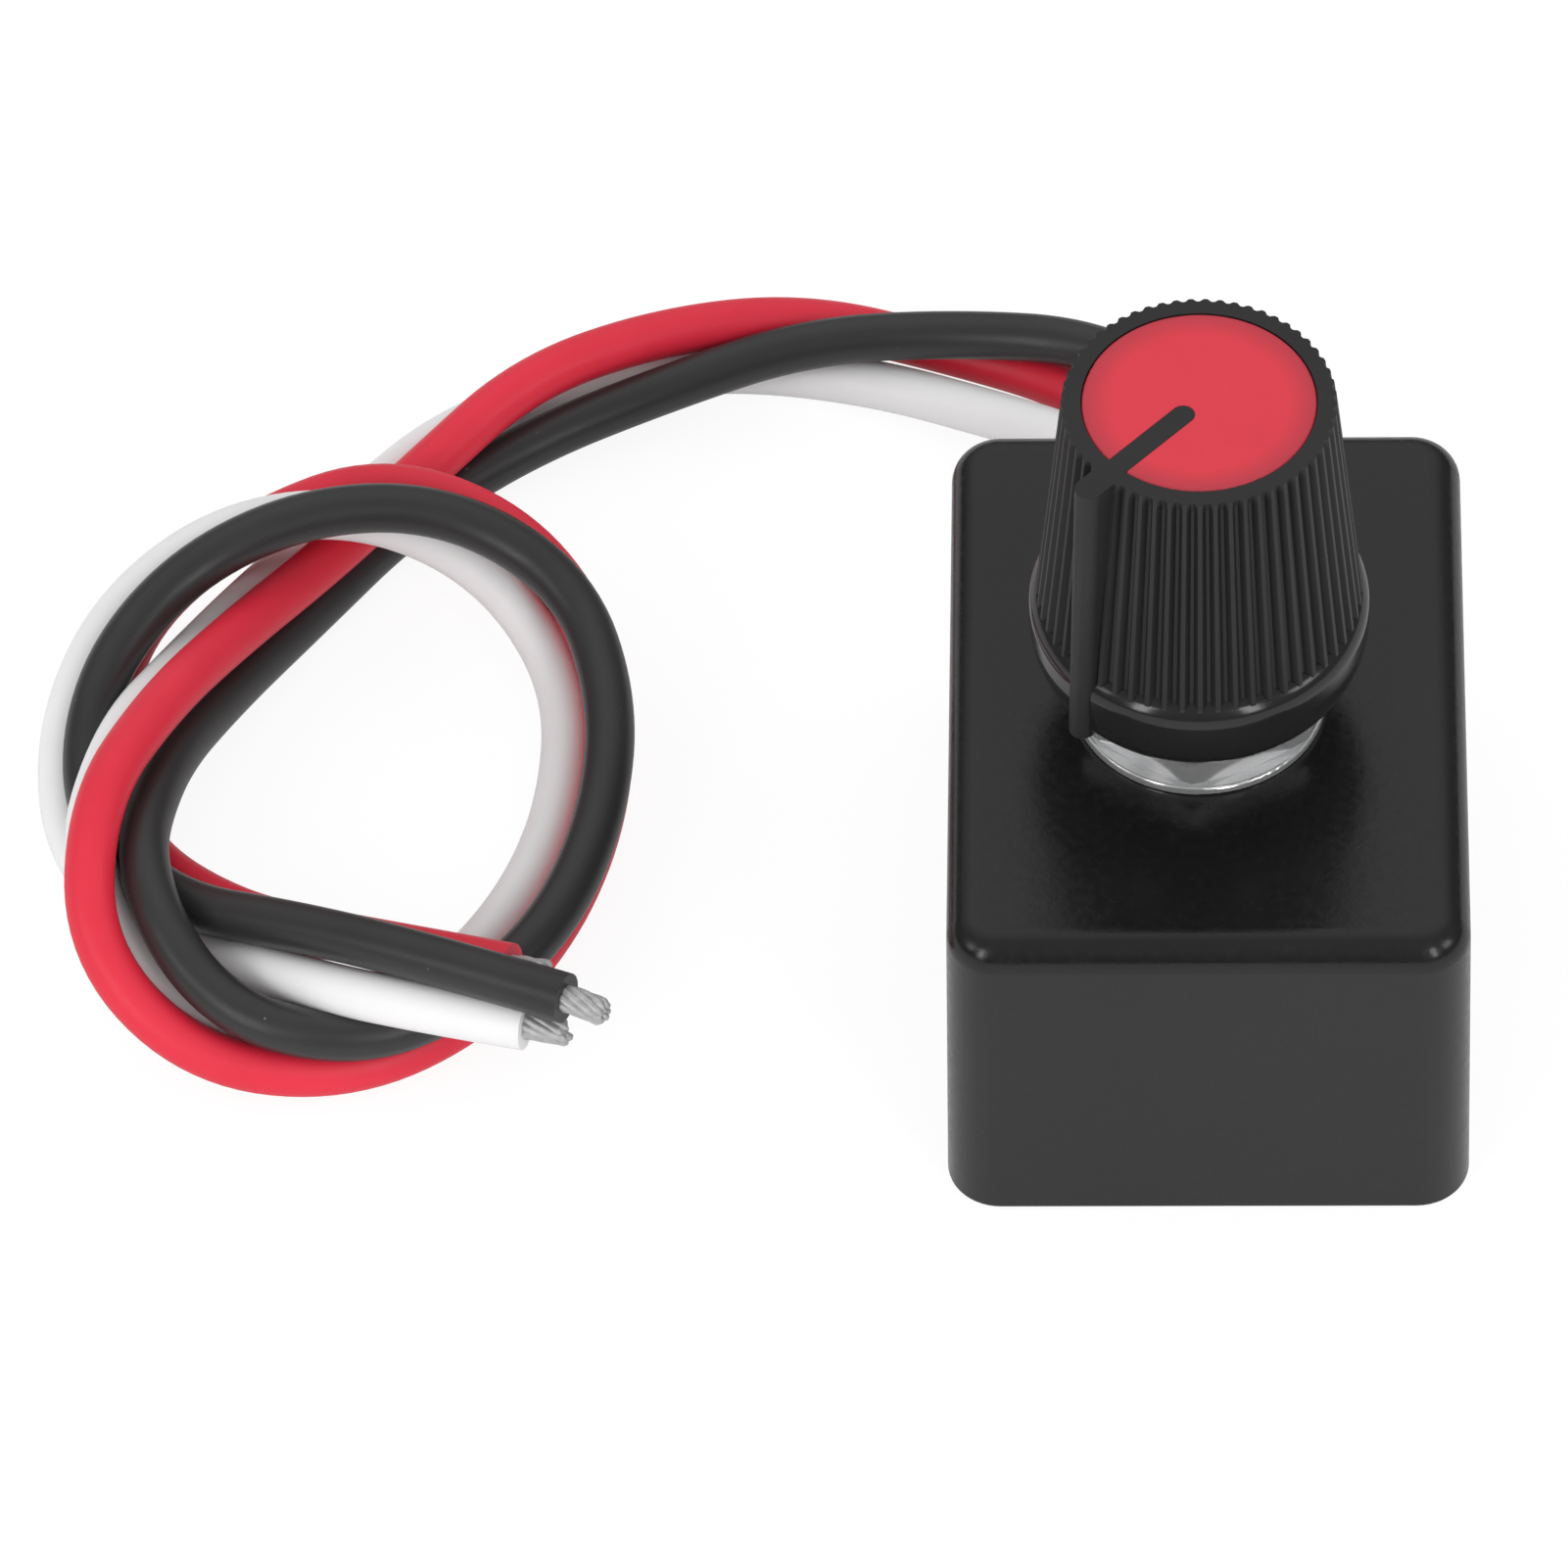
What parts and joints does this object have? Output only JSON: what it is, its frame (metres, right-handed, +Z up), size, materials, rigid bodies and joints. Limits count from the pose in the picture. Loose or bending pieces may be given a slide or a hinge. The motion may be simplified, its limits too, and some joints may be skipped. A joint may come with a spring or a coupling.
{
  "type": "rotary dimmer",
  "caption": "In-line rotary dimmer: black moulded box, ribbed knob with red insert on a panel potentiometer, and rubber-covered leads tied in a loose knot.",
  "frame": {"origin": "centre of the box's foot, on the surface it stands on; the leads are left out of the centring", "axes": "+Z up along the potentiometer's shaft, +Y towards the wall that the leads leave, -Y towards the viewer"},
  "size_m": [0.0656, 0.052, 0.0379],
  "materials": {
    "housing_plastic": "fine spark texture, semi-gloss",
    "cover_plastic": "fine texture",
    "bush_metal": "zinc plated",
    "wafer_board": "resin-bonded paper",
    "carbon_print": "matt carbon ink",
    "silver_print": "silver ink",
    "terminal_metal": "tinned",
    "rotor_plastic": "moulded",
    "contact_brass": "sprung strip",
    "can_metal": "tinned sheet",
    "shaft_metal": "turned",
    "clip_metal": "stamped spring steel",
    "washer_metal": "zinc plated",
    "nut_metal": "zinc plated",
    "knob_plastic": "matt ribs, glossy foot",
    "cap_plastic": "satin red",
    "board_laminate": "green solder mask",
    "chip_plastic": "moulded epoxy",
    "tinned_metal": "tinned",
    "capacitor_can": "drawn can",
    "resistor_body": "glazed",
    "ceramic_body": "fired",
    "red_rubber": "soft silicone rubber",
    "black_rubber": "soft silicone rubber",
    "white_rubber": "soft silicone rubber",
    "tinned_wire": "stranded and tinned",
    "solder": "bright solder",
    "glue": "hot-melt glue"
  },
  "bodies": {
    "dimmer_box": {"base_cover": "cover_plastic", "black_joint": "solder", "black_lead": "black_rubber", "black_lead_tip": "tinned_wire", "bush_plate": "bush_metal", "capacitor_feet": "chip_plastic", "ceramic_capacitor_1": "ceramic_body", "ceramic_capacitor_2": "ceramic_body", "chip_pins": "tinned_metal", "circuit_board": "board_laminate", "collector_ring": "silver_print", "diode": "chip_plastic", "electrolytic_capacitor": "capacitor_can", "hex_nut": "nut_metal", "housing": "housing_plastic", "mosfet_body": "chip_plastic", "mosfet_tab": "tinned_metal", "pot_can": "can_metal", "pot_wafer": "wafer_board", "red_joint": "solder", "red_lead": "red_rubber", "red_lead_tip": "tinned_wire", "resistive_track": "carbon_print", "resistor_1": "resistor_body", "resistor_2": "resistor_body", "resistor_3": "resistor_body", "strain_bead": "glue", "terminal_high": "terminal_metal", "terminal_low": "terminal_metal", "terminal_wiper": "terminal_metal", "timer_chip": "chip_plastic", "washer": "washer_metal", "white_joint": "solder", "white_lead": "white_rubber", "white_lead_tip": "tinned_wire"},
    "dial": {"pot_shaft": "shaft_metal", "pot_rotor": "rotor_plastic", "wiper_contact": "contact_brass", "shaft_clip": "clip_metal", "knob": "knob_plastic", "knob_cap": "cap_plastic"}
  },
  "joints": [
    {"name": "knob_turn", "type": "hinge", "parent": "dimmer_box", "child": "dial", "pos_m": [-0.00035, -0.00075, 0], "axis": [0, 0, -1], "range_deg": [0, 300]}
  ]
}
